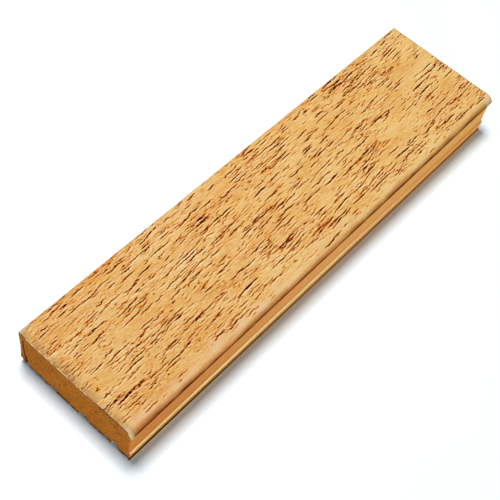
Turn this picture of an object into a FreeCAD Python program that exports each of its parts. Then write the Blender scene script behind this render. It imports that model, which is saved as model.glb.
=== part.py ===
"""Threshold strip: a veneered fibreboard bar with a rounded front edge and a relieved underside.

Frame: X across the strip (+X is the rounded front edge), Y along it, Z up.
The origin is the centre of the underside. All sizes are in millimetres.
"""
import FreeCAD
import Part

import math
import os

# ---- Driving dimensions -------------------------------------------------------------------
LENGTH = 200.0              # cut length, along Y
WIDTH = 50.0                # overall width, along X
HEIGHT = 19.0               # overall height, along Z

FACE_THICKNESS = 0.7        # decorative face veneer
GLUE_THICKNESS = 0.15       # cured glue line under the face veneer
BACKING_THICKNESS = 0.5     # balancing veneer on the underside

NOSE_RADIUS = 3.5           # outer radius of the rounded front edge
NOSE_SWEEP = 75.0           # degrees of that radius the veneer covers before its trimmed edge

LEDGE_HEIGHT = 5.2          # top of the ledge that the trimming cutter leaves on the front side
LEDGE_DROP = 0.4            # how far the ledge slopes down outwards
LIP_X = 24.85               # outermost point of the lip below the ledge
LIP_UNDERCUT = 0.4          # how far the lip leans in towards its foot
BACKING_FRONT_X = 24.95     # front edge of the balancing veneer, just proud of the lip's foot

# Relief grooves milled along the underside, back to front: centre X, width, height of the root.
RELIEF_GROOVES = (
    (-17.8, 9.4, 1.4),
    (-9.6, 3.6, 1.8),
    (4.6, 5.2, 1.9),
    (14.0, 2.2, 1.4),
    (18.3, 3.6, 3.1),
)
GROOVE_WALL_SLOPE = 0.35    # run of each groove wall for each millimetre of its rise

# ---- Worked out from them -----------------------------------------------------------------
BACK_X = -WIDTH / 2
FRONT_X = WIDTH / 2
SWEEP = math.radians(NOSE_SWEEP)
NOSE_X = FRONT_X - NOSE_RADIUS * math.sin(SWEEP)    # where the flat top meets the nose
NOSE_Z = HEIGHT - NOSE_RADIUS                       # centre height of the nose
CORE_DEPTH = FACE_THICKNESS + GLUE_THICKNESS        # how far the core lies below the outer surface
FOOT_X = LIP_X - LIP_UNDERCUT                       # front end of the core's underside


def point(x, z):
    """A point of the cross-section, on the near end's plane."""
    return FreeCAD.Vector(x, -LENGTH / 2, z)


def nose_point(depth, angle):
    """A point of the nose, depth below the outer surface, at an angle from the vertical."""
    radius = NOSE_RADIUS - depth
    return point(NOSE_X + radius * math.sin(angle), NOSE_Z + radius * math.cos(angle))


def nose_arc(depth):
    """The nose's curve at a depth below the outer surface, as far as the trimmed edge."""
    arc = Part.Arc(nose_point(depth, 0), nose_point(depth, SWEEP / 2), nose_point(depth, SWEEP))
    return arc.toShape()


def lines(points):
    """Straight edges through the points in turn."""
    return [Part.LineSegment(a, b).toShape() for a, b in zip(points, points[1:])]


def extrude(edges):
    """A bar the length of the strip, whose cross-section the edges close."""
    wire = Part.Wire(Part.__sortEdges__(edges))
    return Part.Face(wire).extrude(FreeCAD.Vector(0, LENGTH, 0))


def skin(outer_depth, inner_depth):
    """A layer that covers the top and the nose between two depths."""
    outer_back = point(BACK_X, HEIGHT - outer_depth)
    inner_back = point(BACK_X, HEIGHT - inner_depth)
    edges = [nose_arc(outer_depth), nose_arc(inner_depth)]
    edges += lines([inner_back, outer_back, nose_point(outer_depth, 0)])
    edges += lines([nose_point(outer_depth, SWEEP), nose_point(inner_depth, SWEEP)])
    edges += lines([nose_point(inner_depth, 0), inner_back])
    return extrude(edges)


def face_veneer():
    """The decorative veneer, over the top and round the nose."""
    return skin(0, FACE_THICKNESS)


def face_glue_line():
    """The cured glue between the face veneer and the core."""
    return skin(FACE_THICKNESS, CORE_DEPTH)


def land_spans():
    """The flat stretches of the underside between the relief grooves, as (low X, high X)."""
    starts = [BACK_X] + [centre + width / 2 for centre, width, _ in RELIEF_GROOVES]
    ends = [centre - width / 2 for centre, width, _ in RELIEF_GROOVES] + [BACKING_FRONT_X]
    return list(zip(starts, ends))


def underside_points():
    """The core's lower outline from back to front: flat lands and flat-rooted grooves."""
    land = BACKING_THICKNESS
    outline = [point(BACK_X, land)]
    for centre, width, root in RELIEF_GROOVES:
        run = GROOVE_WALL_SLOPE * (root - land)
        outline += [
            point(centre - width / 2, land),
            point(centre - width / 2 + run, root),
            point(centre + width / 2 - run, root),
            point(centre + width / 2, land),
        ]
    return outline + [point(FOOT_X, land)]


def core():
    """The fibreboard bar: rounded nose, trimmed front side with a ledge, relieved underside."""
    nose_end = nose_point(CORE_DEPTH, SWEEP)
    front_side = [
        nose_end,
        point(nose_end.x, LEDGE_HEIGHT),
        point(LIP_X, LEDGE_HEIGHT - LEDGE_DROP),
    ]
    outline = front_side + underside_points()[::-1]
    outline += [point(BACK_X, HEIGHT - CORE_DEPTH), nose_point(CORE_DEPTH, 0)]
    return extrude([nose_arc(CORE_DEPTH)] + lines(outline))


def backing_strip(low_x, high_x):
    """One strip of balancing veneer, under one land of the core."""
    top = BACKING_THICKNESS
    corners = [point(low_x, 0), point(high_x, 0), point(high_x, top), point(low_x, top)]
    return extrude(lines(corners + corners[:1]))


def subparts():
    """Every sub-part by its node name."""
    shapes = {"core": core(), "face_glue_line": face_glue_line(), "face_veneer": face_veneer()}
    for number, (low_x, high_x) in enumerate(land_spans(), start=1):
        shapes[f"backing_strip_{number}"] = backing_strip(low_x, high_x)
    return shapes


def main():
    os.makedirs("parts", exist_ok=True)
    for name, shape in subparts().items():
        if not shape.isValid() or shape.Volume <= 0:
            raise ValueError(f"{name} is not a sound solid")
        shape.exportStep(f"parts/{name}.step")
        print(f"{name}: {shape.Volume / 1000:.2f} cm3")


main()
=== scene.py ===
"""The looks of a veneered threshold strip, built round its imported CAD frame.

Frame: X across the strip (+X is the rounded front edge), Y along it, Z up. Sizes here are in millimetres,
and MM turns them into Blender's metres where a mesh, a light or a texture needs it.
"""

import math

import bmesh
import bpy
import numpy as np
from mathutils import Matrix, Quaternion, Vector, noise


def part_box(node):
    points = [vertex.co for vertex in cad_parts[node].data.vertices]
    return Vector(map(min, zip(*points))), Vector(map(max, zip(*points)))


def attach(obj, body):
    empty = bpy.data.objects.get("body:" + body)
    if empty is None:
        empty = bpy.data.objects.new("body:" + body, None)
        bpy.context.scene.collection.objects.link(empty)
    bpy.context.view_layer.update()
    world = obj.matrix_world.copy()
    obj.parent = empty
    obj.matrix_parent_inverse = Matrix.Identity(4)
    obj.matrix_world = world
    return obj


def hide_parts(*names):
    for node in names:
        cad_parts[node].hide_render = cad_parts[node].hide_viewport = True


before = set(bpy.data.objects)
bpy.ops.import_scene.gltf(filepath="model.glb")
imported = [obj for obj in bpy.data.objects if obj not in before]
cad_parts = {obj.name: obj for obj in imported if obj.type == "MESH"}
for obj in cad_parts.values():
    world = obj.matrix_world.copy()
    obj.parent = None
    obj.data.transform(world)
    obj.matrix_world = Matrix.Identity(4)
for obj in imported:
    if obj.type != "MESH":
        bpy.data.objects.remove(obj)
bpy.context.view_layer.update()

MM = 0.001
SEED = 209


def cad_box(node):
    """Lowest and highest corners of a CAD node, in millimetres."""
    return [np.array(corner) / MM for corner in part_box(node)]


# ---- The strip's cross-section ------------------------------------------------------------
NOSE_RADIUS = 3.5                       # outer radius of the rounded front edge
NOSE_SWEEP = math.radians(75)           # how much of that radius the veneer covers
LEDGE_HEIGHT = 5.2                      # top of the ledge on the front side
LEDGE_DROP = 0.4                        # how far the ledge slopes down outwards
LIP_X = 24.85                           # outermost point of the lip below the ledge
LIP_UNDERCUT = 0.4                      # how far the lip leans in towards its foot
LIP_WEAR = 0.3                          # worn from the lip's upper arris
WEAR_RISE = 0.1                         # how far the sloping ledge rises within that wear
GROOVE_ROOTS = (1.4, 1.8, 1.9, 1.4, 3.1)    # heights of the relief grooves' roots, back to front
GROOVE_WALL_SLOPE = 0.35                # run of each groove wall for each millimetre of its rise

VENEER_LOW, VENEER_HIGH = cad_box("face_veneer")
CORE_LOW, CORE_HIGH = cad_box("core")
BACKING_NODES = [name for name in sorted(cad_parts) if name.startswith("backing_strip")]
BACKING_BOXES = [cad_box(name) for name in BACKING_NODES]

BACK_X, NEAR_Y = VENEER_LOW[:2]
FRONT_X, FAR_Y, TOP_Z = VENEER_HIGH
LENGTH = FAR_Y - NEAR_Y
CORE_DEPTH = TOP_Z - CORE_HIGH[2]       # veneer and glue together
VENEER_THICKNESS = 0.7
LAND_Z = CORE_LOW[2]                    # underside of the core, on top of the balancing veneer
FOOT_X = LIP_X - LIP_UNDERCUT

NOSE_X = FRONT_X - NOSE_RADIUS * math.sin(NOSE_SWEEP)   # where the flat top meets the nose
NOSE_Z = TOP_Z - NOSE_RADIUS
FLAT_WIDTH = NOSE_X - BACK_X
SKIN_WIDTH = FLAT_WIDTH + NOSE_RADIUS * NOSE_SWEEP      # the veneer's width laid out flat


def skin_point(across, depth):
    """X and Z on the skin, from a laid-out distance from the back edge and a depth below the surface."""
    angle = np.clip((across - FLAT_WIDTH) / NOSE_RADIUS, 0, None)
    radius = NOSE_RADIUS - depth
    x = BACK_X + np.minimum(across, FLAT_WIDTH) + radius * np.sin(angle)
    return x, NOSE_Z + radius * np.cos(angle)


# ---- Small tools --------------------------------------------------------------------------
NOISE_GAIN = 1.6                        # brings Blender's Perlin noise to about -1 to 1


def smooth(value, low, high):
    """0 below low, 1 above high, and a smooth step between."""
    t = np.clip((value - low) / (high - low), 0, 1)
    return t * t * (3 - 2 * t)


def noise_field(xs, ys, scale_x, scale_y, layer):
    """Noise at each point, about -1 to 1, with a feature size each way. Each layer is a field of its own."""
    values = [noise.noise(Vector((x / scale_x, y / scale_y, layer))) for x, y in zip(xs.flat, ys.flat)]
    return np.array(values).reshape(xs.shape) * NOISE_GAIN


def turn_outwards(mesh):
    """Makes every face of a closed mesh look outwards."""
    work = bmesh.new()
    work.from_mesh(mesh)
    bmesh.ops.recalc_face_normals(work, faces=work.faces)
    work.to_mesh(mesh)
    work.free()


def make_mesh(name, points, faces, attributes=None):
    """A mesh object from points in millimetres, faces turned outwards, with float attributes on points."""
    mesh = bpy.data.meshes.new(name)
    mesh.from_pydata((points * MM).tolist(), [], faces)
    mesh.validate()
    for key, values in (attributes or {}).items():
        layer = mesh.attributes.new(key, "FLOAT", "POINT")
        layer.data.foreach_set("value", values.astype(np.float32))
    turn_outwards(mesh)
    obj = bpy.data.objects.new(name, mesh)
    bpy.context.scene.collection.objects.link(obj)
    return obj


def grid_faces(index):
    """Quads over a grid of point numbers."""
    corners = (index[:-1, :-1], index[1:, :-1], index[1:, 1:], index[:-1, 1:])
    return np.stack([corner.ravel() for corner in corners], 1).tolist()


def grid_rim(index):
    """The numbers of the points round the edge of a grid, in order."""
    return np.concatenate([index[:, 0], index[-1, 1:], index[-2::-1, -1], index[0, -2:0:-1]])


def finish_piece(obj, slot, nodes, *materials):
    """Gives a piece its materials and body, and hides the CAD nodes that it stands for. The slot is not used.
    """
    for material in materials:
        obj.data.materials.append(material)
    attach(obj, "root")
    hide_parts(*nodes)


# ---- Shader building ----------------------------------------------------------------------
# How bright red, green and blue show on white surfaces under the studio lights.
TOP_LIGHT = (1.29, 1.34, 1.38)
SIDE_LIGHT = (1.21, 1.41, 1.66)
END_LIGHT = (0.83, 0.91, 1.28)
LEDGE_LIGHT = (0.72, 0.92, 1.03)
PLAIN_LIGHT = (1.0, 1.0, 1.0)           # for a colour that is given as it is


def paint(red, green, blue, light=TOP_LIGHT):
    """The surface colour that shows as these 0 to 255 values where white shows as bright as light."""
    channels = [value / 255 for value in (red, green, blue)]
    linear = [c / 12.92 if c <= 0.04045 else ((c + 0.055) / 1.055) ** 2.4 for c in channels]
    return (*[min(value / level, 0.95) for value, level in zip(linear, light)], 1.0)


class Shader:
    """One material's node tree, with short ways to add nodes to it."""

    def __init__(self, name, roughness, specular=0.3):
        self.material = bpy.data.materials.new(name)
        self.material.use_nodes = True
        self.tree = self.material.node_tree
        self.surface = self.tree.nodes["Principled BSDF"]
        self.surface.inputs["Specular IOR Level"].default_value = specular
        self.surface.inputs["Roughness"].default_value = roughness
        self.position = self.node("ShaderNodeTexCoord").outputs["Object"]

    def node(self, kind, inputs=None, **settings):
        """A node with its settings, and inputs that are values or other nodes' outputs."""
        made = self.tree.nodes.new(kind)
        for key, value in settings.items():
            setattr(made, key, value)
        for key, value in (inputs or {}).items():
            if isinstance(value, bpy.types.NodeSocket):
                self.tree.links.new(value, made.inputs[key])
            else:
                made.inputs[key].default_value = value
        return made

    def attribute(self, name):
        """A float attribute of the mesh."""
        return self.node("ShaderNodeAttribute", attribute_name=name).outputs["Fac"]

    def noise(self, size, detail=2.0, roughness=0.5, distortion=0.0, tilt=0.0):
        """Noise whose features are about size millimetres along X, Y and Z, about 0 to 1."""
        scale = [1 / (length * MM) for length in size]
        rotation = (0, 0, tilt)
        turned = self.node("ShaderNodeMapping", {"Vector": self.position, "Rotation": rotation})
        scaled = self.node("ShaderNodeMapping", {"Vector": turned.outputs[0], "Scale": scale})
        values = {"Vector": scaled.outputs[0], "Scale": 1.0, "Detail": detail}
        values.update({"Roughness": roughness, "Distortion": distortion})
        return self.node("ShaderNodeTexNoise", values).outputs["Fac"]

    def remap(self, value, low, high, to_low=0.0, to_high=1.0):
        """A value moved smoothly from one range to another, and held there."""
        numbers = {"Value": value, "From Min": low, "From Max": high, "To Min": to_low, "To Max": to_high}
        return self.node("ShaderNodeMapRange", numbers, interpolation_type="SMOOTHSTEP").outputs[0]

    def span(self, coordinate, start, end, to_low=0.0, to_high=1.0):
        """Remap for one of the surface's coordinates, between two places in millimetres."""
        return self.remap(coordinate, start * MM, end * MM, to_low, to_high)

    def math(self, operation, a, b=0.0):
        """One sum on two values."""
        return self.node("ShaderNodeMath", {0: a, 1: b}, operation=operation).outputs[0]

    def mix(self, factor, a, b, blend="MIX"):
        """One colour laid over another."""
        made = self.node("ShaderNodeMix", data_type="RGBA", blend_type=blend)
        for number, value in ((0, factor), (6, a), (7, b)):
            if isinstance(value, bpy.types.NodeSocket):
                self.tree.links.new(value, made.inputs[number])
            else:
                made.inputs[number].default_value = value
        return made.outputs[2]

    def chain(self, operation, values):
        """Several values joined by one operation."""
        running = values[0]
        for value in values[1:]:
            running = self.math(operation, running, value)
        return running

    def total(self, *values):
        """The sum of several values."""
        return self.chain("ADD", values)

    def product(self, *values):
        """Several values multiplied together."""
        return self.chain("MULTIPLY", values)

    def strongest(self, *values):
        """The largest of several values."""
        return self.chain("MAXIMUM", values)

    def ramp(self, value, stops):
        """A colour from a list of (position, colour) stops."""
        made = self.node("ShaderNodeValToRGB", {"Fac": value})
        elements = made.color_ramp.elements
        while len(elements) < len(stops):
            elements.new(1.0)
        for element, (position, colour) in zip(elements, stops):
            element.position = position
            element.color = colour
        return made.outputs["Color"]

    def coordinate(self, axis):
        """One coordinate of the surface, in metres."""
        return self.node("ShaderNodeSeparateXYZ", {0: self.position}).outputs[axis]

    def facing(self, axis):
        """How squarely the surface faces along an axis, from -1 to 1."""
        normal = self.node("ShaderNodeNewGeometry").outputs["Normal"]
        return self.node("ShaderNodeSeparateXYZ", {0: normal}).outputs[axis]

    def finish(self, colour, bump=None, bump_height=0.05, roughness=None):
        """Joins colour, bump (height in millimetres) and roughness to the surface."""
        self.tree.links.new(colour, self.surface.inputs["Base Color"])
        if bump is not None:
            values = {"Height": bump, "Strength": 1.0, "Distance": bump_height * MM}
            normal = self.node("ShaderNodeBump", values).outputs[0]
            self.tree.links.new(normal, self.surface.inputs["Normal"])
        if roughness is not None:
            self.tree.links.new(roughness, self.surface.inputs["Roughness"])
        return self.material


# ---- Wood pores ---------------------------------------------------------------------------
ACROSS_STEPS = 300
ALONG_STEPS = 306
NOSE_CLEAR = 4.0        # hardly any pores this near to the trimmed edge

# The most prominent splits in the veneer: start and end along the strip from the near end, distance
# from the back edge, half width and darkness.
SPLITS = (
    (4.0, 13.5, 39.3, 0.42, 1.0), (20.0, 29.0, 6.2, 0.22, 0.9), (23.0, 32.0, 27.4, 0.20, 0.8),
    (28.0, 35.0, 36.4, 0.20, 0.8), (34.0, 40.0, 13.0, 0.22, 0.9), (38.0, 43.0, 31.3, 0.20, 0.8),
    (44.0, 52.0, 21.0, 0.20, 0.9), (56.0, 63.0, 22.0, 0.20, 0.9), (53.0, 59.0, 44.3, 0.18, 0.6),
    (59.0, 71.0, 39.6, 0.32, 1.0), (64.0, 69.5, 23.0, 0.22, 1.0), (68.0, 76.0, 33.9, 0.22, 0.9),
    (69.0, 86.0, 14.0, 0.20, 0.9), (77.0, 84.0, 25.0, 0.20, 0.8), (92.0, 100.0, 6.3, 0.22, 0.9),
    (104.0, 116.0, 30.5, 0.22, 0.9), (110.0, 123.0, 40.0, 0.24, 1.0), (111.0, 120.0, 11.3, 0.22, 0.9),
    (116.0, 131.0, 25.0, 0.20, 0.8), (125.0, 133.0, 9.8, 0.22, 0.9), (130.0, 142.0, 41.0, 0.22, 0.9),
    (136.0, 151.0, 13.9, 0.22, 0.9), (137.0, 149.0, 31.3, 0.22, 0.9), (146.0, 157.0, 41.2, 0.30, 1.0),
    (153.0, 164.0, 25.0, 0.22, 0.9), (163.0, 172.0, 41.4, 0.24, 1.0), (164.0, 172.0, 6.8, 0.22, 0.9),
    (167.0, 178.0, 14.6, 0.22, 0.9), (189.0, 197.0, 21.8, 0.24, 0.9), (193.0, 198.0, 47.0, 0.26, 1.0),
)

# Scattered pores: how many, shortest and longest, thinnest and widest half width, faintest and darkest.
PORE_KINDS = (
    (240, 4.0, 12.0, 0.14, 0.24, 0.75, 1.0),
    (900, 2.0, 8.0, 0.09, 0.16, 0.50, 0.95),
    (1900, 1.2, 5.0, 0.07, 0.12, 0.30, 0.70),
)
PIT_COUNT = 150
LEAN = (1.5, 5.5)       # degrees by which a pore leans towards the back edge
WANDER = (0.05, 0.22)   # how far it wanders from a straight line
PORE_BLUR = 0.08        # how soft its sides are

# The painted highlights beside a pore: on which side, how far off, how wide, faintest and strongest.
PORE_HIGHLIGHTS = ((-1, 0.32, 0.18, 0.3, 1.0), (1, 0.34, 0.2, 0.1, 0.5))


class Grain:
    """The marks in the veneer, on a grid laid out flat: dark pores, stain round them and painted highlights
    beside them.
    """

    def __init__(self):
        self.across = np.linspace(0, SKIN_WIDTH, ACROSS_STEPS + 1)
        self.along = np.linspace(0, LENGTH, ALONG_STEPS + 1)
        shape = (ACROSS_STEPS + 1, ALONG_STEPS + 1)
        self.pore = np.zeros(shape)
        self.stain = np.zeros(shape)
        self.gleam = np.zeros(shape)
        self.random = np.random.default_rng(SEED)

    def window(self, start, end, centre, reach):
        """Slices of the grid that a mark may touch, and the grid's coordinates there."""
        rows = slice(*np.searchsorted(self.across, (centre - reach, centre + reach)))
        columns = slice(*np.searchsorted(self.along, (start, end)))
        across, along = np.meshgrid(self.across[rows], self.along[columns], indexing="ij")
        return (rows, columns), across, along

    def lay(self, field, place, value):
        """Keeps the stronger of a mark and what is there."""
        field[place] = np.maximum(field[place], value)

    def split(self, start, end, centre, half_width, darkness):
        """A long thin pore that leans towards the back edge, wanders a little and tapers at both ends."""
        draw = self.random
        drift = -math.tan(math.radians(draw.uniform(*LEAN)))
        waves = draw.uniform(0.6, 2.2, 2)
        phases = draw.uniform(0, 2 * math.pi, 3)
        wander = draw.uniform(*WANDER)
        length = end - start
        reach = abs(drift) * length / 2 + 2.5
        place, across, along = self.window(start, end, centre, reach)
        if across.size == 0:
            return
        u = (along - start) / length
        line = centre + drift * (along - (start + end) / 2)
        line += wander * np.sin(2 * math.pi * waves[0] * u + phases[0])
        line += 0.5 * wander * np.sin(2 * math.pi * 3.1 * waves[1] * u + phases[1])
        taper = np.sin(math.pi * np.clip(u, 0, 1)) ** 0.7
        ragged = 0.75 + 0.35 * np.sin(2 * math.pi * 2.7 * waves[1] * u + phases[2])
        half = half_width * taper * ragged
        offset = across - line
        dark = np.clip((half - np.abs(offset)) / PORE_BLUR + 0.5, 0, 1) * smooth(taper, 0.05, 0.5)
        self.lay(self.pore, place, dark * darkness)
        halo = np.exp(-((offset / (1.5 * half_width + 0.15)) ** 2)) * taper
        self.lay(self.stain, place, halo * darkness * 0.75)
        # Painted highlights along both sides of the pore.
        for side, gap, width, faint, strong in PORE_HIGHLIGHTS:
            shift = offset + side * (half_width + gap)
            torn = np.exp(-((shift / width) ** 2)) * taper
            self.lay(self.gleam, place, torn * darkness * draw.uniform(faint, strong))

    def pit(self, start, centre, size, darkness):
        """A small torn hole with one to three short rays."""
        draw = self.random
        self.blob(start, centre, size, darkness)
        for _ in range(draw.integers(1, 4)):
            reach = draw.uniform(1.2, 3.0) * size
            turn = draw.uniform(-0.9, 0.9)
            for share in (0.4, 0.7, 1.0):
                self.blob(start + reach * share, centre + reach * share * turn, size * 0.55, darkness * 0.8)

    def blob(self, start, centre, size, darkness):
        """A soft dark spot, longer than it is wide."""
        place, across, along = self.window(start - 3 * size, start + 3 * size, centre, 3 * size)
        distance = np.hypot((along - start) / 1.5, across - centre) / size
        self.lay(self.pore, place, (1 - smooth(distance, 0.4, 1.2)) * darkness)
        self.lay(self.stain, place, np.exp(-(distance / 1.8) ** 2) * darkness * 0.7)

    def crowding(self, along, across):
        """How likely a scattered pore is to stand at a place, from 0 to 1: pores come in drifts."""
        wide = noise.noise(Vector((across / 7.0, along / 24.0, 3.0)))
        fine = noise.noise(Vector((across / 2.2, along / 9.0, 8.0)))
        drifts = 0.52 + 1.3 * wide + 0.6 * fine + 0.25 * math.sin(math.pi * max(along, 0.0) / LENGTH)
        room_at_nose = SKIN_WIDTH - NOSE_CLEAR - across
        return np.clip(drifts, 0.04, 1) * smooth(room_at_nose, -2.0, 2.5)

    def scatter(self):
        """Draws every mark."""
        draw = self.random
        for count, short, long, thin, wide, faint, dark in PORE_KINDS:
            made = 0
            while made < count:
                start = draw.uniform(-2, LENGTH)
                centre = draw.uniform(0.3, SKIN_WIDTH)
                if draw.uniform() > self.crowding(start, centre):
                    continue
                length = short + (long - short) * draw.uniform() ** 1.6
                half_width = draw.uniform(thin, wide) * (1 + 0.3 * start / LENGTH)
                self.split(start, start + length, centre, half_width, draw.uniform(faint, dark))
                made += 1
        for _ in range(PIT_COUNT):
            along, across = draw.uniform(2, LENGTH - 2), draw.uniform(1, FLAT_WIDTH - 2)
            self.pit(along, across, draw.uniform(0.12, 0.28), draw.uniform(0.55, 1.0))
        for start, end, centre, half_width, darkness in SPLITS:
            self.split(start, end, centre, half_width, darkness)


# ---- Face veneer --------------------------------------------------------------------------
PORE_DEPTH = 0.38       # how deep the darkest pores go
RELIEF = 0.02           # height of the gentle waves between them


def veneer_inner_points(grain):
    """The veneer's inner points: a row under each end of the grid, and a column under each long edge."""
    inner_x, inner_z = skin_point(grain.across, VENEER_THICKNESS)
    ends = [np.stack([inner_x, np.full_like(inner_x, y), inner_z], -1) for y in (NEAR_Y, FAR_Y)]
    inner_along = NEAR_Y + grain.along[1:-1]
    sides = []
    for row in (0, -1):
        side_x = np.full_like(inner_along, inner_x[row])
        side_z = np.full_like(inner_along, inner_z[row])
        sides.append(np.stack([side_x, inner_along, side_z], -1))
    return np.concatenate([*ends, *sides])


def veneer_faces(index):
    """The veneer's faces, from its grid of point numbers: outer skin, cut edges and inner skin."""
    near = index.size + np.arange(len(index))
    far = near + len(index)
    back = index.size + 2 * len(index) + np.arange(ALONG_STEPS - 1)
    front = back + ALONG_STEPS - 1
    back_loop = np.concatenate([near[:1], back, far[:1]])
    front_loop = np.concatenate([near[-1:], front, far[-1:]])

    edges = grid_faces(np.stack([index[:, 0], near]))
    edges += grid_faces(np.stack([far, index[:, -1]]))
    edges += grid_faces(np.stack([back_loop, index[0]]))
    edges += grid_faces(np.stack([index[-1], front_loop]))
    inner = grid_faces(np.stack([near[1:-1], far[1:-1]]))
    inner.append([*back_loop.tolist(), far[1], near[1]][::-1])
    inner.append([*front_loop.tolist(), far[-2], near[-2]])
    return grid_faces(index), edges, inner


def build_face_veneer():
    """The textured veneer: a fine grid over the top and the nose, with real pores, closed underneath."""
    grain = Grain()
    grain.scatter()
    across, along = np.meshgrid(grain.across, grain.along, indexing="ij")
    waves = noise_field(across, along, 1.3, 9.0, 21.0)
    depth = PORE_DEPTH * grain.pore + RELIEF * (0.5 + 0.5 * waves)
    x, z = skin_point(across, depth)
    outer_points = np.stack([x, NEAR_Y + along, z], -1).reshape(-1, 3)
    inner_points = veneer_inner_points(grain)
    outer, edges, inner = veneer_faces(np.arange(across.size).reshape(across.shape))

    marks = {"pore": grain.pore, "stain": grain.stain, "gleam": grain.gleam}
    unmarked = np.zeros(len(inner_points))
    attributes = {key: np.concatenate([values.ravel(), unmarked]) for key, values in marks.items()}
    attributes["across"] = np.concatenate([across.ravel(), unmarked + FLAT_WIDTH])
    points = np.concatenate([outer_points, inner_points])
    obj = make_mesh("face_veneer_skin", points, outer + edges + inner, attributes)
    for polygon in obj.data.polygons[len(outer):len(outer) + len(edges)]:
        polygon.material_index = 1
    obj.data.polygons.foreach_set("use_smooth", np.arange(len(obj.data.polygons)) < len(outer))
    finish_piece(obj, "face_veneer", ["face_veneer"], veneer_material(), veneer_edge_material())


# The wood's colours from its palest fibres to the bottom of its pores.
WOOD_TONES = (
    (0.00, paint(255, 238, 194)),
    (0.20, paint(247, 218, 162)),
    (0.40, paint(233, 190, 121)),
    (0.55, paint(224, 160, 79)),
    (0.70, paint(211, 104, 12)),
    (0.85, paint(150, 40, 0)),
    (1.00, paint(74, 0, 0)),
)

GRAIN_TILT = math.radians(3.5)          # how far the grain leans from the strip's length

# Where the veneer's colours change, across it as laid out flat from the back edge. In these pairs and the
# core's, a change starts at the first place and is complete at the second.
SMOOTH_BAND_START = (45.0, 47.5)
SMOOTH_BAND_END = (50.0, 48.6)
# The nose darkens with stain and painted shade, and its trimmed edge carries a painted shadow line.
NOSE_SHADE = (47.8, 50.6)
TRIMMED_EDGE_SHADE = (49.8, 51.2)


def wood_tone(s, y, streaks, fibres):
    """How dark the wood is, on the scale of WOOD_TONES, with painted light along the strip and painted
    highlights beside the pores.
    """
    mottle = s.noise((8, 20, 8), detail=3, roughness=0.6, tilt=GRAIN_TILT)
    flecks = s.noise((0.4, 3.2, 0.4), detail=2, roughness=0.6, tilt=GRAIN_TILT)
    speckle = s.noise((0.45, 0.5, 0.45), detail=2, roughness=0.7)
    return s.total(
        # Painted light: the wood is a little darker towards the near end and paler towards the far end.
        s.span(y, NEAR_Y, FAR_Y, 0.06, 0.0),
        s.remap(mottle, 0.3, 0.7, 0.34, 0.455),
        s.remap(streaks, 0.25, 0.75, -0.07, 0.07),
        s.remap(fibres, 0.25, 0.75, -0.1, 0.1),
        s.remap(flecks, 0.6, 0.72, 0.0, 0.2),
        s.remap(speckle, 0.25, 0.75, -0.11, 0.11),
        s.product(s.attribute("stain"), 0.19),
        s.math("POWER", s.attribute("pore"), 1.25),
        # The gleam is painted highlight beside the pores.
        s.product(s.attribute("gleam"), -0.52),
    )


def tint_wood(s, colour, golden):
    """Makes the wood warmer in some streaks than in others, and more golden towards the far end."""
    warmth = s.remap(s.noise((3, 18, 3), detail=3, roughness=0.6, tilt=GRAIN_TILT), 0.34, 0.66)
    tint = s.mix(warmth, (1.0, 1.01, 1.06, 1.0), (1.0, 0.985, 0.91, 1.0))
    colour = s.mix(1.0, colour, tint, "MULTIPLY")
    return s.mix(golden, colour, (1.0, 0.98, 0.88, 1.0), "MULTIPLY")


def add_smooth_band(s, colour, across, golden):
    """Lays a pale smooth band beside the nose, in patches, over wood that has no mark."""
    patches = s.noise((9, 16, 9), detail=2)
    inner = s.total(across, s.remap(patches, 0.45, 0.62, 0.0, 3.0))
    band = s.product(s.remap(inner, *SMOOTH_BAND_START), s.remap(across, *SMOOTH_BAND_END))
    unmarked = s.remap(s.total(s.attribute("pore"), s.attribute("stain")), 0.3, 0.0)
    band = s.product(band, s.remap(patches, 0.36, 0.6, 0.3, 0.9), unmarked)
    return s.mix(band, colour, s.mix(golden, paint(234, 194, 148), paint(235, 202, 138)))


def shade_nose(s, colour, across, y, wear, golden):
    """Darkens the wood round the nose with stain and painted shade, to a painted shadow line at its trimmed
    edge, a little sooner at the near end.
    """
    nose = s.total(across, s.remap(wear, 0.3, 0.7, -0.4, 0.4), s.span(y, -50, NEAR_Y, 0.0, 0.4))
    shade = s.mix(golden, paint(188, 112, 50), paint(184, 112, 42))
    colour = s.mix(s.remap(nose, *NOSE_SHADE), colour, shade)
    return s.mix(s.remap(nose, *TRIMMED_EDGE_SHADE), colour, paint(98, 42, 14))


def wear_ends(s, colour, across, y, wear):
    """Dulls the wood beside the near cut, and pales it at the near end's corners and the far end's nose."""
    dull = s.product(s.span(y, NEAR_Y + 3.5, NEAR_Y), s.remap(wear, 0.35, 0.6, 0.2, 0.7))
    colour = s.mix(dull, colour, paint(176, 132, 82))
    near_corner = s.product(s.remap(across, 1.5, 0.6), s.span(y, NEAR_Y + 6, NEAR_Y + 3))
    near_nose = s.product(s.remap(across, 45.0, 47.5), s.span(y, NEAR_Y + 1.7, NEAR_Y + 0.6))
    far_nose = s.product(s.remap(across, 46.5, 48.0), s.span(y, FAR_Y - 5, FAR_Y - 2.5))
    pale = s.product(s.strongest(near_corner, near_nose, far_nose), 0.55)
    return s.mix(pale, colour, paint(222, 202, 164))


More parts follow.
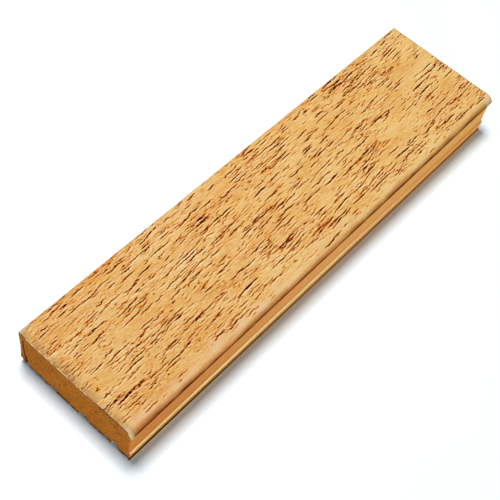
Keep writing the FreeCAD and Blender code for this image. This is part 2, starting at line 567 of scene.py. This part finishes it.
def veneer_material():
    """Open-pored golden wood: mottled, finely streaked, paler towards the far end as painted light, with dark
    pores, painted highlights beside them, and a nose darkened by stain and painted shade.
    """
    s = Shader("veneer_wood", roughness=0.7, specular=0.04)
    across, y = s.attribute("across"), s.coordinate("Y")
    streaks = s.noise((0.6, 7, 3), detail=4, roughness=0.65, distortion=0.4, tilt=GRAIN_TILT)
    fibres = s.noise((0.28, 3.2, 1), detail=4, roughness=0.7, tilt=GRAIN_TILT)
    wear = s.noise((2.5, 10, 2.5), detail=3, roughness=0.6)
    golden = s.span(y, -60, 60)
    colour = s.ramp(wood_tone(s, y, streaks, fibres), WOOD_TONES)
    colour = tint_wood(s, colour, golden)
    colour = add_smooth_band(s, colour, across, golden)
    colour = shade_nose(s, colour, across, y, wear, golden)
    colour = wear_ends(s, colour, across, y, wear)
    roughness = s.remap(fibres, 0.3, 0.7, 0.62, 0.8)
    return s.finish(colour, s.total(fibres, streaks), bump_height=0.03, roughness=roughness)


def veneer_edge_material():
    """The veneer's cut edge: pale raw wood in broken dashes, dark towards the nose and the back corner."""
    s = Shader("veneer_cut_edge", roughness=0.8, specular=0.04)
    broken = s.noise((1.3, 2.0, 1.3), detail=3, roughness=0.6)
    raw, stained = paint(234, 214, 180, END_LIGHT), paint(178, 118, 58, END_LIGHT)
    colour = s.mix(s.remap(broken, 0.43, 0.52), raw, stained)
    x = s.coordinate("X")
    dark = s.total(s.span(x, 5, 11), s.span(x, BACK_X + 4, BACK_X + 2.5))
    dark = s.product(dark, s.span(x, 23.6, 22.6))
    return s.finish(s.mix(dark, colour, paint(74, 42, 22, END_LIGHT)), broken)


# ---- Fibreboard core ----------------------------------------------------------------------
CAP_STEPS = 64          # from the underside to the top of an end face
COLUMN_PITCH = 0.2      # between columns of an end face
FINE_PITCH = 0.07       # the same beside the back arris, where the near end is split
FINE_WIDTH = 4.2        # how wide that part is
FRONT_ROWS = (0, 20, 23, 26, CAP_STEPS)     # rows at the foot, the lip's two arrises, the ledge and the nose
CORE_ALONG_STEPS = 84
END_RINGS = (0, 0.15, 0.35, 0.6, 0.9, 1.3, 1.8, 2.5, 3.5, 5.0)     # distances of rings of points from an end
END_REACH = 8.0         # how far from an end its roughness fades out
# How far from an end its painted shade reaches along the long sides.
SHADE_REACH = 1.5       # and its darkness

SAW_DEPTH = 0.08        # how far a sawn end lies inside the strip's length
PIT_DEPTH = 0.25        # of the pits in it
CRACK_DEPTH = 1.4       # of the crack in the near end
BITE_HEIGHT = 1.3       # of the chips along the lower arris
KNOCK_HEIGHT = 1.6      # of the knock at the near back corner


def underside_height(x):
    """Height of the core's underside, with its relief grooves."""
    height = np.full_like(x, LAND_Z)
    for left, right, root in zip(BACKING_BOXES, BACKING_BOXES[1:], GROOVE_ROOTS):
        low, high = left[1][0], right[0][0]
        rise = np.minimum(x - low, high - x) / GROOVE_WALL_SLOPE
        height = np.maximum(height, np.minimum(LAND_Z + rise, root))
    return height


def front_side(share):
    """X and Z up the front side: foot, lip, ledge, side face and the core's own nose end."""
    end_x, end_z = skin_point(np.array(SKIN_WIDTH), CORE_DEPTH)
    lip_z = LEDGE_HEIGHT - LEDGE_DROP
    corners_x = [FOOT_X, LIP_X, LIP_X - LIP_WEAR, end_x, end_x]
    corners_z = [LAND_Z, lip_z - LIP_WEAR, lip_z + WEAR_RISE, LEDGE_HEIGHT, end_z]
    shares = np.array(FRONT_ROWS) / CAP_STEPS
    return np.interp(share, shares, corners_x), np.interp(share, shares, corners_z)


def section_grid():
    """X and Z over the whole cross-section: columns from back to front, rows from bottom to top."""
    fine = np.arange(BACK_X, BACK_X + FINE_WIDTH, FINE_PITCH)
    steps = int((FOOT_X - fine[-1]) / COLUMN_PITCH)
    bottom_x = np.concatenate([fine, np.linspace(fine[-1], FOOT_X, steps + 1)[1:]])
    bottom_z = underside_height(bottom_x)
    u = (bottom_x - BACK_X) / (FOOT_X - BACK_X)
    top_x, top_z = skin_point(u * SKIN_WIDTH, CORE_DEPTH)
    t = np.linspace(0, 1, CAP_STEPS + 1)
    front_x, front_z = front_side(t)
    back_x = np.full_like(t, BACK_X)
    back_z = np.interp(t, [0, 1], [bottom_z[0], top_z[0]])
    u, t = u[:, None], t[None, :]

    def patch(bottom, top, back, front):
        """The surface that spans four edges."""
        ruled = (1 - t) * bottom[:, None] + t * top[:, None] + (1 - u) * back + u * front
        corners = (1 - u) * ((1 - t) * back[0] + t * back[-1]) + u * ((1 - t) * front[0] + t * front[-1])
        return ruled - corners

    return patch(bottom_x, top_x, back_x, front_x), patch(bottom_z, top_z, back_z, front_z)


def split_line(height):
    """How far from the back face the crack in the near end runs, at each height."""
    share = np.clip((CORE_HIGH[2] - height) / (CORE_HIGH[2] - LAND_Z), 0, 1)
    return 1.15 + 0.35 * share + 1.7 * share ** 3 + 0.12 * np.sin(9 * share)


def split_near_end(x, z):
    """How far the near end sinks where its back arris has split off, and how open the crack is."""
    wander = 0.14 * noise_field(z, z, 0.8, 1.0, 37.0)
    offset = np.abs(x - BACK_X - split_line(z) - wander)
    width = 0.4 + 0.5 * smooth(-z, -14.0, -2.0)
    crack = (1 - smooth(offset, width * 0.5, width * 1.6)) * smooth(CORE_HIGH[2] - z, 2.0, 7.0)
    flake = (1 - smooth(x - BACK_X, 0.2, 3.2)) * smooth(CORE_HIGH[2] - z, 1.0, 9.0)
    fuzz = noise_field(x, z, 0.35, 0.5, 39.0)
    return CRACK_DEPTH * crack + flake * (0.3 + 0.14 * fuzz), crack


def carve_end(x, z, near):
    """How far an end face sinks at each of its points, and its painted shade there: in its pits, its crack
    and along its lower edge.
    """
    rough = noise_field(x, z, 0.7, 0.7, 31.0) * 0.03 + noise_field(x, z, 4.0, 4.0, 33.0) * 0.04
    pits = smooth(noise_field(x, z, 0.9, 1.2, 35.0), 0.72, 0.95)
    sink = SAW_DEPTH + rough + PIT_DEPTH * pits
    # Painted shade in the pits and along the end's lower edge.
    lower_edge = 1 - smooth(z - z[:, :1], 0.1, 0.8 + 0.4 * noise_field(x, 0 * x, 1.2, 1.0, 36.0))
    dark = np.maximum(0.5 * pits, 0.3 * lower_edge)
    if near:
        split, crack = split_near_end(x, z)
        sink = sink + split
        # Painted shade in the crack.
        dark = np.maximum(dark, crack)
    return sink, dark


def chip(points):
    """How far the core's lower arris is lifted: in bites near its ends, but not at the far end's front, and
    in a knock at the near back corner."""
    x, z = points[:, 0], points[:, 2]
    from_near = points[:, 1] - NEAR_Y
    from_end = np.minimum(from_near, FAR_Y - points[:, 1])
    bites = smooth(noise_field(x, from_end, 1.5, 2.5, 41.0), 0.15, 0.9)
    bites = BITE_HEIGHT * bites * (1 - smooth(from_end, 0.6, 3.5))
    far_front = smooth(x, 12.0, 18.0) * (from_near > LENGTH / 2)
    knock = KNOCK_HEIGHT * (1 - smooth(x - BACK_X, 0.0, 3.4)) * (1 - smooth(from_near, 1.0, 6.0))
    return (bites * (1 - far_front) + knock) * (1 - smooth(z, 0.4, 5.0))


def ring_distances():
    """How far along the strip each ring of points is: close together near the ends."""
    ends = np.array(END_RINGS)
    middle = np.linspace(ends[-1], LENGTH - ends[-1], CORE_ALONG_STEPS - 2 * len(ends) + 3)[1:-1]
    return np.concatenate([ends, middle, (LENGTH - ends)[::-1]])


def core_points(grid_x, grid_z, rim, distances):
    """The points of both ends and of the rings between them, and the painted shade at each."""
    layers, darks = [], []
    for near in (True, False):
        sink, dark = carve_end(grid_x, grid_z, near)
        y = NEAR_Y + sink if near else FAR_Y - sink
        layers.append(np.stack([grid_x, y, grid_z], -1).reshape(-1, 3))
        darks.append(dark.ravel())
    near_sink = layers[0][rim, 1] - NEAR_Y
    far_sink = FAR_Y - layers[1][rim, 1]
    rim_x, rim_z = grid_x.ravel()[rim], grid_z.ravel()[rim]
    for distance in distances:
        near_share = 1 - smooth(distance, 0, END_REACH)
        far_share = 1 - smooth(LENGTH - distance, 0, END_REACH)
        y = NEAR_Y + distance + near_share * near_sink - far_share * far_sink
        layers.append(np.stack([rim_x, y, rim_z], -1))
        # The ends' painted shade fades out a little way along the long sides.
        darks.append(darks[0][rim] * (1 - smooth(distance, 0, SHADE_REACH)))
    return np.concatenate(layers), np.concatenate(darks)


def core_faces(number, rim, ring_count):
    """The faces of both ends and of the long sides that join them, from an end's grid of point numbers."""
    first = 2 * number.size
    rings = [rim] + [first + k * len(rim) + np.arange(len(rim)) for k in range(ring_count)]
    rings.append(number.size + rim)
    closed = np.stack([np.append(ring, ring[0]) for ring in rings])
    faces = grid_faces(number)
    faces += [face[::-1] for face in grid_faces(number + number.size)]
    faces += [face[::-1] for face in grid_faces(closed)]
    return faces


def build_core():
    """The fibreboard core: sawn, pitted ends with a split back arris, and a long trimmed front side."""
    grid_x, grid_z = section_grid()
    number = np.arange(grid_x.size).reshape(grid_x.shape)
    rim = grid_rim(number)
    distances = ring_distances()[1:-1]
    points, dark = core_points(grid_x, grid_z, rim, distances)
    points[:, 2] += chip(points)
    obj = make_mesh("core_board", points, core_faces(number, rim, len(distances)), {"dark": dark})
    finish_piece(obj, "core_fibreboard", ["core"], core_material())


# Where the core's colours change.
FRONT_START = (20.0, 21.0)              # across, on to the trimmed front side
# A painted highlight along the top of the front side, under the veneer.
UPPER_BAND = (12.6, 13.8)               # up, into the paler band under the veneer
LIP_TOP = (LEDGE_HEIGHT - 0.4, LEDGE_HEIGHT - 0.8)      # down, on to the lip
LIP_FOOT = (3.6, 1.0)                   # down, into the lip's dark foot
# Painted shade: an end darkens towards its foot.
END_FOOT = (3.2, 0.6)                   # down, into the dark foot of an end
LEDGE_ACROSS, LEDGE_UP = (24.2, 24.3), (4.4, 4.6)
# Where the painted highlight along the ledge's outer rim lies.
CREST_ACROSS, CREST_UP = (24.36, 24.46), (4.42, 4.52)
FAR_PART = (20.0, 75.0)                 # along, to where the lip, the ledge and the backing turn even


def sawn_end_colour(s, fluff, z):
    """A sawn end: dull brown, clouded and fluffy, with painted shade darkening its foot."""
    cloud = s.noise((7, 7, 5), detail=3)
    pale, darker = paint(176, 110, 42, END_LIGHT), paint(166, 100, 35, END_LIGHT)
    colour = s.mix(s.remap(cloud, 0.35, 0.65), pale, darker)
    colour = s.mix(s.remap(fluff, 0.34, 0.66), colour, paint(136, 78, 22, END_LIGHT))
    # Painted shade towards the foot, in clouds.
    foot = s.product(s.span(z, *END_FOOT, 0, 0.9), s.remap(cloud, 0.3, 0.6, 0.5, 1.0))
    return s.mix(foot, colour, paint(98, 50, 12, END_LIGHT))


def side_colour(s, front, y, along):
    """The long sides: an even back, and a front that pales towards the far end as painted light, both grained
    and speckled.
    """
    # Painted light: the front is darker at the near end and paler towards the far end.
    colour = s.mix(along, paint(202, 129, 61, SIDE_LIGHT), paint(242, 178, 103, SIDE_LIGHT))
    colour = s.mix(s.span(y, 10, 110), colour, paint(255, 198, 112, SIDE_LIGHT))
    colour = s.mix(front, paint(234, 168, 94, SIDE_LIGHT), colour)
    grain = s.noise((0.6, 7, 0.5), detail=3, roughness=0.65)
    colour = s.mix(s.remap(grain, 0.4, 0.66, 0, 0.25), colour, paint(204, 132, 68, SIDE_LIGHT))
    speckle = s.noise((0.4, 0.5, 0.4), detail=2, roughness=0.7)
    return s.mix(s.remap(speckle, 0.45, 0.7, 0, 0.4), colour, paint(190, 118, 56, SIDE_LIGHT))


def add_front_bands(s, colour, front, y, z):
    """Lays the front side's painted highlight along its top, its spotted lip and the lip's dark foot."""
    # Painted highlight along the top of the front side.
    upper = s.product(front, s.span(z, *UPPER_BAND, 0, 0.7))
    colour = s.mix(upper, colour, paint(234, 186, 116, SIDE_LIGHT))
    spots = s.remap(s.noise((0.5, 1.4, 0.5), detail=2, roughness=0.7), 0.46, 0.62)
    spots = s.product(spots, s.span(y, -70, 10, 0.75, 0.15))
    lip_colour = s.mix(spots, paint(214, 152, 84, END_LIGHT), paint(132, 80, 34, END_LIGHT))
    lip_colour = s.mix(s.span(y, *FAR_PART), lip_colour, paint(224, 158, 90, END_LIGHT))
    colour = s.mix(s.product(front, s.span(z, *LIP_TOP), 0.85), colour, lip_colour)
    foot = s.product(front, s.span(z, *LIP_FOOT), s.span(y, -70, 0, 0.6, 0.0))
    return s.mix(foot, colour, paint(100, 54, 24, END_LIGHT))


def add_ledge(s, colour, x, y, z, along):
    """Lays the ledge on the front side, and a painted highlight along its outer rim."""
    # Painted light: the ledge too pales towards the far end.
    ledge = s.mix(along, paint(200, 138, 70, LEDGE_LIGHT), paint(236, 178, 104, LEDGE_LIGHT))
    ledge = s.mix(s.span(y, *FAR_PART), ledge, paint(226, 158, 88, LEDGE_LIGHT))
    colour = s.mix(s.product(s.span(x, *LEDGE_ACROSS), s.span(z, *LEDGE_UP)), colour, ledge)
    # Painted highlight, brighter between -55 and 6 mm along, and fading out towards the far end.
    glint = s.product(s.span(y, -85, -55), s.span(y, 22, 6))
    crest = s.mix(glint, paint(244, 198, 146, LEDGE_LIGHT), paint(250, 214, 164, LEDGE_LIGHT))
    rim = s.product(s.span(x, *CREST_ACROSS), s.span(z, *CREST_UP), s.span(y, 80, 20))
    return s.mix(rim, colour, crest)


def core_material():
    """Fibreboard: dull brown sawn ends with painted shade in their pits, crack and lower edges, and lighter
    orange-brown long sides, the front with painted light, a painted highlight along its top and a painted
    highlight on the ledge's crest.
    """
    s = Shader("fibreboard", roughness=0.85, specular=0.03)
    x, y, z = [s.coordinate(axis) for axis in "XYZ"]
    fluff = s.noise((0.55, 0.55, 0.55), detail=3, roughness=0.7)
    front = s.span(x, *FRONT_START)
    # How far along the front the painted light has paled it.
    along = s.span(y, NEAR_Y - 20, 30)
    colour = side_colour(s, front, y, along)
    colour = add_front_bands(s, colour, front, y, z)
    colour = add_ledge(s, colour, x, y, z, along)

    is_end = s.remap(s.math("ABSOLUTE", s.facing("Y")), 0.4, 0.7)
    # Painted shade in the pits, the crack and along the ends' lower edges: it takes the sawn end's colour and
    # turns nearly black where deepest.
    dark = s.attribute("dark")
    sawn = s.strongest(is_end, s.remap(dark, 0.0, 0.15))
    colour = s.mix(sawn, colour, sawn_end_colour(s, fluff, z))
    colour = s.mix(s.remap(dark, 0.05, 0.6), colour, paint(42, 17, 5, END_LIGHT))
    return s.finish(colour, fluff, bump_height=0.12)


# ---- Glue and balancing veneer ------------------------------------------------------------
BACKING_PITCH = 0.3     # between columns of a backing strip
BACKING_STEPS = 60      # along it
BACKING_LIFT = 0.04     # how far its lowest fibres stay clear of the floor
BACKING_RELIEF = 0.04   # how uneven it is underneath
BREAK_DEPTH = 1.1       # how far its ends are broken back
CORNER_BREAK = 3.0      # how much further the first strip is, at the near back corner
CORNER_WIDTH = 2.4      # how much of its width that takes


def glue_material():
    """Cured adhesive: dark brown, slightly glossy and uneven."""
    s = Shader("glue", roughness=0.4, specular=0.4)
    uneven = s.noise((2, 6, 2), detail=3)
    return s.finish(s.mix(uneven, paint(64, 32, 12, END_LIGHT), paint(110, 66, 28, END_LIGHT)), uneven)


def broken_end(xs, layer, draw):
    """How far the end of a backing strip is broken back at each point."""
    ragged = smooth(noise_field(xs, 0 * xs, 1.1, 1.0, layer), -0.2, 0.8)
    return BREAK_DEPTH * ragged + draw.uniform(0.0, 0.2)


def build_backing(node, box, material, stream):
    """One strip of balancing veneer: a thin uneven sheet whose ends are broken along the grain."""
    low, high = box
    draw = np.random.default_rng(SEED + stream)
    columns = max(4, int((high[0] - low[0]) / BACKING_PITCH))
    share = 0.5 - 0.5 * np.cos(math.pi * np.linspace(0, 1, BACKING_STEPS + 1))
    xs, shares = np.meshgrid(np.linspace(low[0], high[0], columns + 1), share, indexing="ij")
    layer = 51.0 + stream
    near_break = broken_end(xs, layer, draw)
    far_break = broken_end(xs, layer + 0.5, draw)
    if stream == 0:
        near_break = near_break + CORNER_BREAK * (1 - smooth(xs - low[0], 0.0, CORNER_WIDTH))
    ys = NEAR_Y + near_break + shares * (LENGTH - near_break - far_break)
    uneven = np.abs(noise_field(xs, ys, 1.5, 14.0, layer + 0.2)) * BACKING_RELIEF
    bottom = np.stack([xs, ys, low[2] + BACKING_LIFT + uneven], -1).reshape(-1, 3)
    top = np.stack([xs, ys, np.full_like(xs, high[2])], -1).reshape(-1, 3)
    index = np.arange(xs.size).reshape(xs.shape)
    rim = grid_rim(index)
    closed = np.append(rim, rim[0])
    faces = [face[::-1] for face in grid_faces(index)]
    faces += grid_faces(index + xs.size)
    faces += grid_faces(np.stack([closed, closed + xs.size]))
    obj = make_mesh(node + "_sheet", np.concatenate([bottom, top]), faces)
    finish_piece(obj, "backing_veneer", [node], material)


def backing_material():
    """Balancing veneer: pale straight-grained wood, darker beyond the near end, with dark ends and a dark top
    that pales further along.
    """
    s = Shader("backing_wood", roughness=0.75, specular=0.2)
    y = s.coordinate("Y")
    grain = s.noise((0.4, 9, 0.4), detail=3, roughness=0.65)
    pale, darker = paint(220, 184, 138, END_LIGHT), paint(202, 158, 106, END_LIGHT)
    colour = s.mix(s.remap(grain, 0.35, 0.65), pale, darker)
    darkening = s.span(y, -85, -35, 0, 0.75)
    colour = s.mix(darkening, colour, paint(150, 102, 58, END_LIGHT))
    colour = s.mix(s.span(y, *FAR_PART, 0, 0.85), colour, paint(206, 138, 74, END_LIGHT))
    cut = s.remap(s.math("ABSOLUTE", s.facing("Y")), 0.3, 0.6)
    colour = s.mix(cut, colour, paint(104, 60, 24, END_LIGHT))
    # The upward faces are dark at the near end and paler further along.
    glue = s.mix(darkening, paint(64, 32, 12, END_LIGHT), paint(184, 122, 64, END_LIGHT))
    return s.finish(s.mix(s.remap(s.facing("Z"), 0.4, 0.7), colour, glue), grain)


def dress_cad_node(node, material):
    """Puts a material on a CAD node that is shown as it is."""
    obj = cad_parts[node]
    obj.data.materials.clear()
    obj.data.materials.append(material)


# ---- Studio -------------------------------------------------------------------------------
CAMERA_LENS = 77.9
CAMERA_AZIMUTH = math.radians(29.47)    # from -Y towards +X
CAMERA_ELEVATION = math.radians(55.69)
CAMERA_DISTANCE = 380.96                # from its target
CAMERA_ROLL = math.radians(14.18)
CAMERA_TARGET = (1.65, -17.03, 8.0)
FLOOR_REACH = 6000.0                    # from the middle of the floor to its edges


def direction(azimuth, elevation):
    """A unit vector from the strip towards an azimuth, from -Y towards +X, and an elevation."""
    flat = math.cos(elevation)
    return Vector((math.sin(azimuth) * flat, -math.cos(azimuth) * flat, math.sin(elevation)))


def add_camera():
    """The camera, turned about its own axis by CAMERA_ROLL."""
    camera = bpy.data.objects.new("camera", bpy.data.cameras.new("camera"))
    bpy.context.scene.collection.objects.link(camera)
    back = direction(CAMERA_AZIMUTH, CAMERA_ELEVATION)
    camera.data.lens = CAMERA_LENS
    camera.data.clip_start = 0.01
    camera.location = (Vector(CAMERA_TARGET) + back * CAMERA_DISTANCE) * MM
    camera.rotation_mode = "QUATERNION"
    camera.rotation_quaternion = (-back).to_track_quat("-Z", "Y") @ Quaternion((0, 0, 1), CAMERA_ROLL)
    bpy.context.scene.camera = camera


def add_light(name, azimuth, elevation, distance, size, watts, colour):
    """A soft square light that faces the strip."""
    data = bpy.data.lights.new(name, "AREA")
    data.color = colour
    data.size = size * MM
    data.energy = watts
    light = bpy.data.objects.new(name, data)
    towards = direction(math.radians(azimuth), math.radians(elevation))
    light.location = towards * distance * MM
    light.rotation_euler = (-towards).to_track_quat("-Z", "Y").to_euler()
    bpy.context.scene.collection.objects.link(light)


def floor_material():
    """Cool white paper, faintly uneven."""
    s = Shader("white_floor", roughness=0.9, specular=0.0)
    paper = s.noise((30, 30, 30), detail=2)
    return s.finish(s.mix(paper, paint(234, 243, 251, PLAIN_LIGHT), paint(236, 245, 252, PLAIN_LIGHT)))


def add_floor():
    """A plain white floor."""
    corners = np.array([(-1, -1, 0), (1, -1, 0), (1, 1, 0), (-1, 1, 0)]) * FLOOR_REACH
    floor = make_mesh("floor", corners, [(0, 1, 2, 3)])
    floor.data.materials.append(floor_material())


def add_world():
    """A dim blue surrounding light."""
    world = bpy.data.worlds.new("studio")
    world.use_nodes = True
    background = world.node_tree.nodes["Background"]
    background.inputs["Color"].default_value = (0.45, 0.78, 1.0, 1.0)
    background.inputs["Strength"].default_value = 0.17
    bpy.context.scene.world = world


def add_studio():
    """The camera, the floor and two soft lights: one overhead, and a low cool one on the nose's side."""
    add_camera()
    add_world()
    add_floor()
    warm, cool = (1.0, 0.98, 0.96), (0.86, 0.95, 1.0)
    add_light("key", azimuth=265, elevation=77.2, distance=900, size=300, watts=9.6, colour=warm)
    add_light("side_fill", azimuth=52, elevation=3.5, distance=800, size=200, watts=6.0, colour=cool)
    bpy.context.scene.view_settings.view_transform = "Standard"


add_studio()
build_face_veneer()
build_core()
dress_cad_node("face_glue_line", glue_material())
BACKING = backing_material()
for number, (backing_node, backing_box) in enumerate(zip(BACKING_NODES, BACKING_BOXES)):
    build_backing(backing_node, backing_box, BACKING, number)
